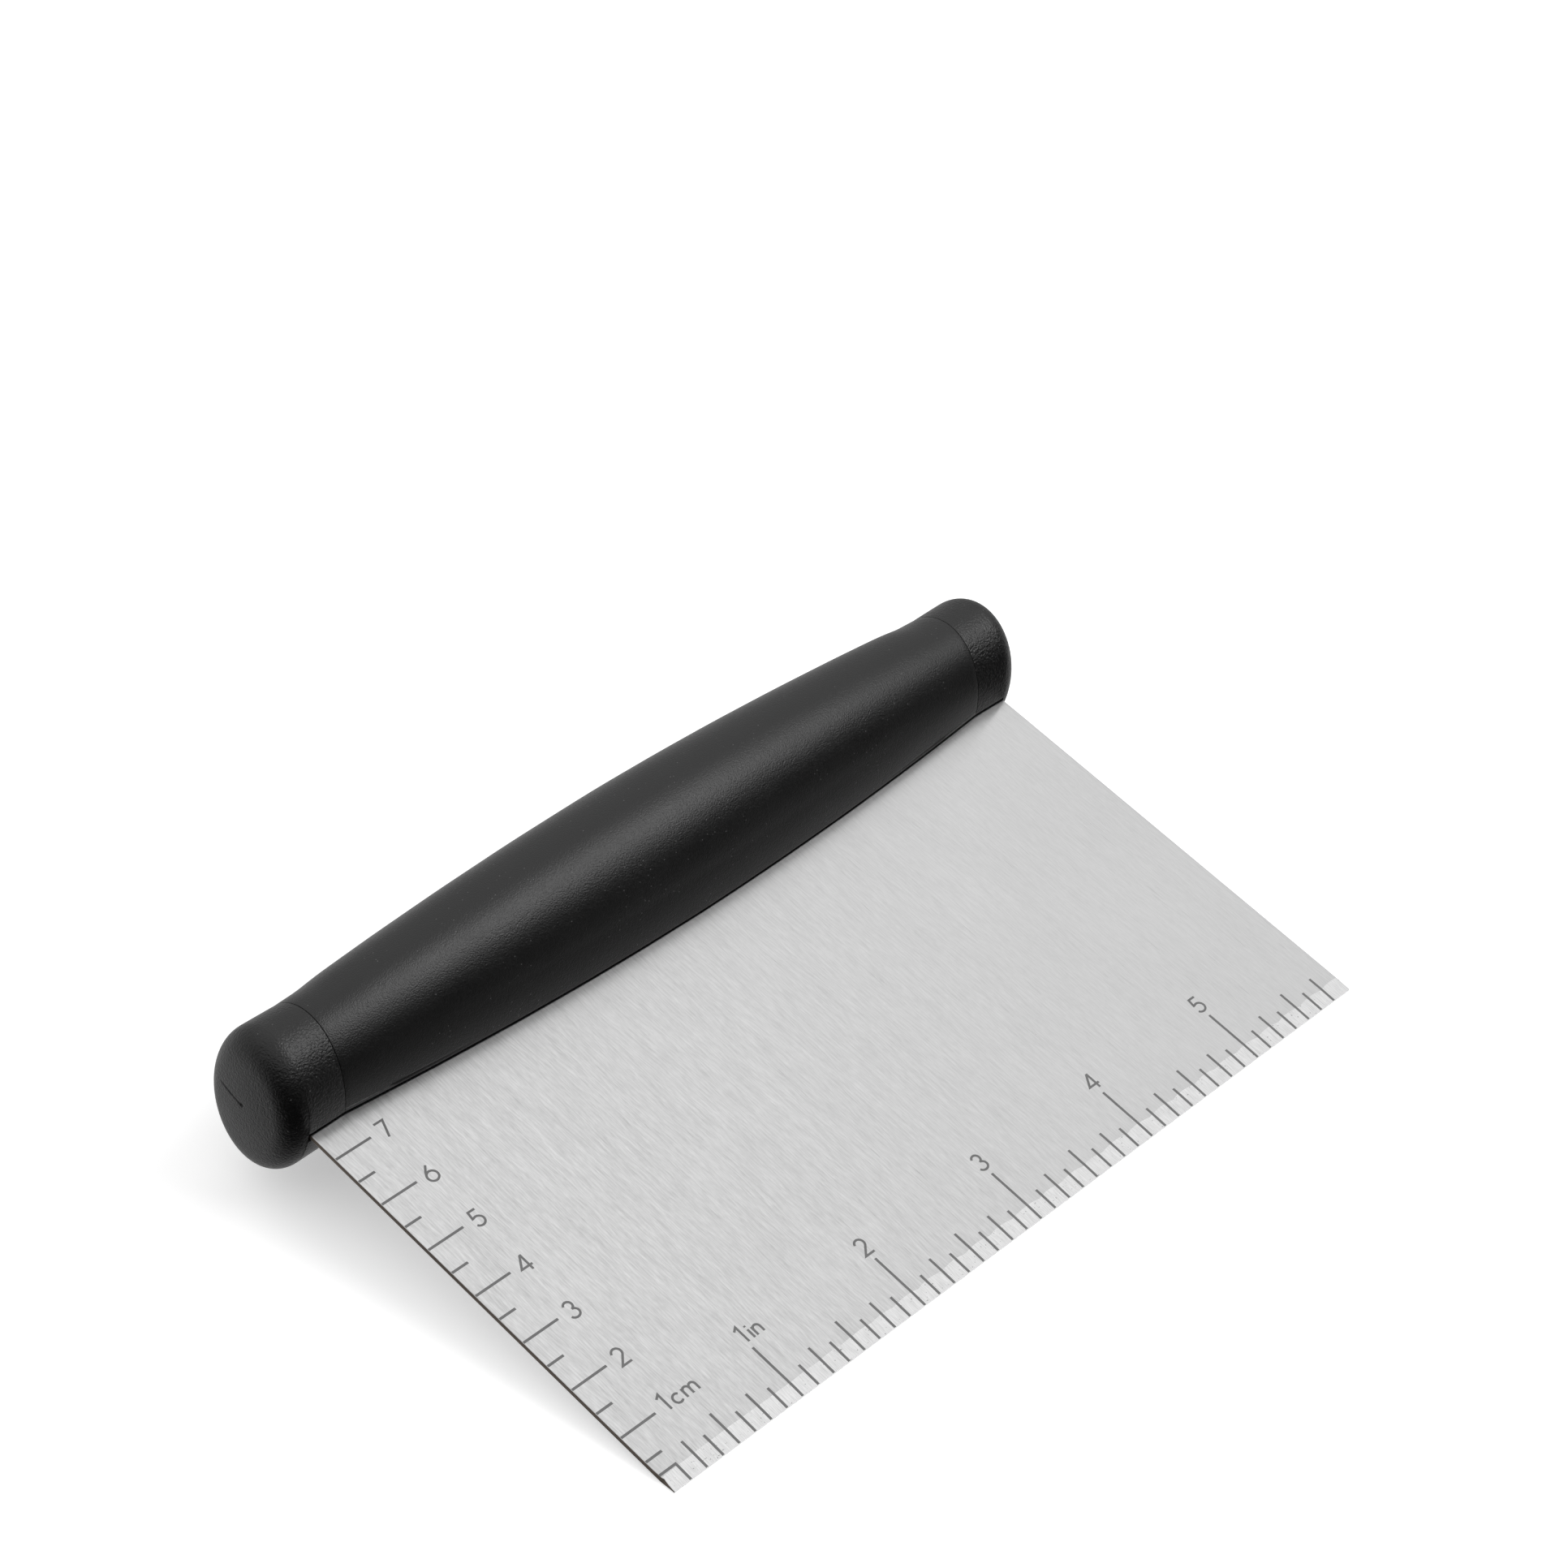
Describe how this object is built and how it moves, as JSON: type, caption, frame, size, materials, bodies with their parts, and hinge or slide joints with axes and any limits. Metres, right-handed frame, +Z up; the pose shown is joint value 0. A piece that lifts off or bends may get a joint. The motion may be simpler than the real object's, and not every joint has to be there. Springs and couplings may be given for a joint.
{
  "type": "bench scraper",
  "caption": "Flat rectangular steel dough scraper with a ground edge and ruler marks, held in a black oval barrel grip with an end cap at each end.",
  "frame": {"origin": "centre of the bounding box in X and Y, on the surface that the scraper lies on", "axes": "+X along the scraping edge, +Y from the edge towards the grip along the table, +Z up from the table; the blade leans up by its rest angle of about 12 degrees"},
  "size_m": [0.16, 0.0968, 0.0345],
  "materials": {
    "blade_steel": "fine brushed grain from grip to edge, lighter ground strip along the edge",
    "grip_plastic": "black satin moulded plastic with a very fine texture",
    "cap_plastic": "black satin moulded plastic with a very fine texture",
    "core_plastic": "dark grey moulded plastic, hidden in use",
    "rivet_steel": "plain steel, hidden in use"
  },
  "bodies": {
    "root": {"blade": "blade_steel", "grip_sleeve": "grip_plastic", "end_cap_left": "cap_plastic", "end_cap_right": "cap_plastic", "core_front": "core_plastic", "core_back": "core_plastic", "rivet_left": "rivet_steel", "rivet_middle": "rivet_steel", "rivet_right": "rivet_steel"}
  },
  "joints": []
}
